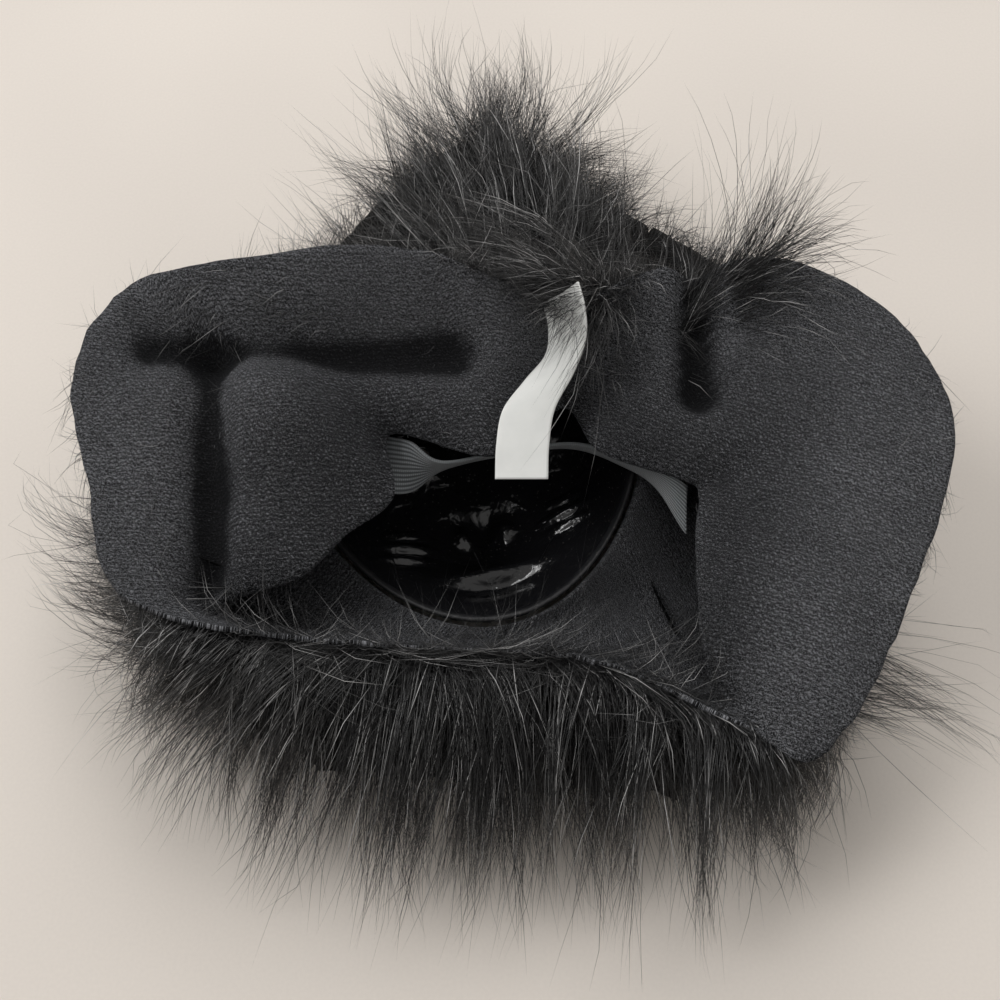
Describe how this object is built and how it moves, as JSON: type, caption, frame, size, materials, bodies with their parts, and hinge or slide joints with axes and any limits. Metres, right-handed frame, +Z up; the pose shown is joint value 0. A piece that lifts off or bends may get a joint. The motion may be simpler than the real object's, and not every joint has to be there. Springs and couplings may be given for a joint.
{
  "type": "gorilla mask lying on its face",
  "caption": "Pull-on gorilla mask: thin moulded face shell with a long-haired fur hood whose neck is turned back as a cuff, lying face down.",
  "frame": {"origin": "middle of the outline, on the surface that the mask lies on", "axes": "+Y from the chin to the crown, +X to the right of one who looks down into the neck opening from the chin's side, +Z up"},
  "size_m": [0.3846, 0.4538, 0.1256],
  "materials": {
    "shell_plastic": "glossy black moulded sheet",
    "knit_backing": "black knit backing with fine rows and loose fibres",
    "elastic": "grey ribbed elastic",
    "label_satin": "white satin, blank",
    "fur": "long black synthetic pile"
  },
  "bodies": {
    "root": {"face_shell": "shell_plastic", "hood_left": "knit_backing", "hood_right": "knit_backing", "head_strap": "elastic", "care_label": "label_satin", "fur_beard": "fur", "fur_left": "fur", "fur_right": "fur", "fur_crown": "fur", "fur_cuff_left": "fur", "fur_cuff_right": "fur"}
  },
  "joints": []
}
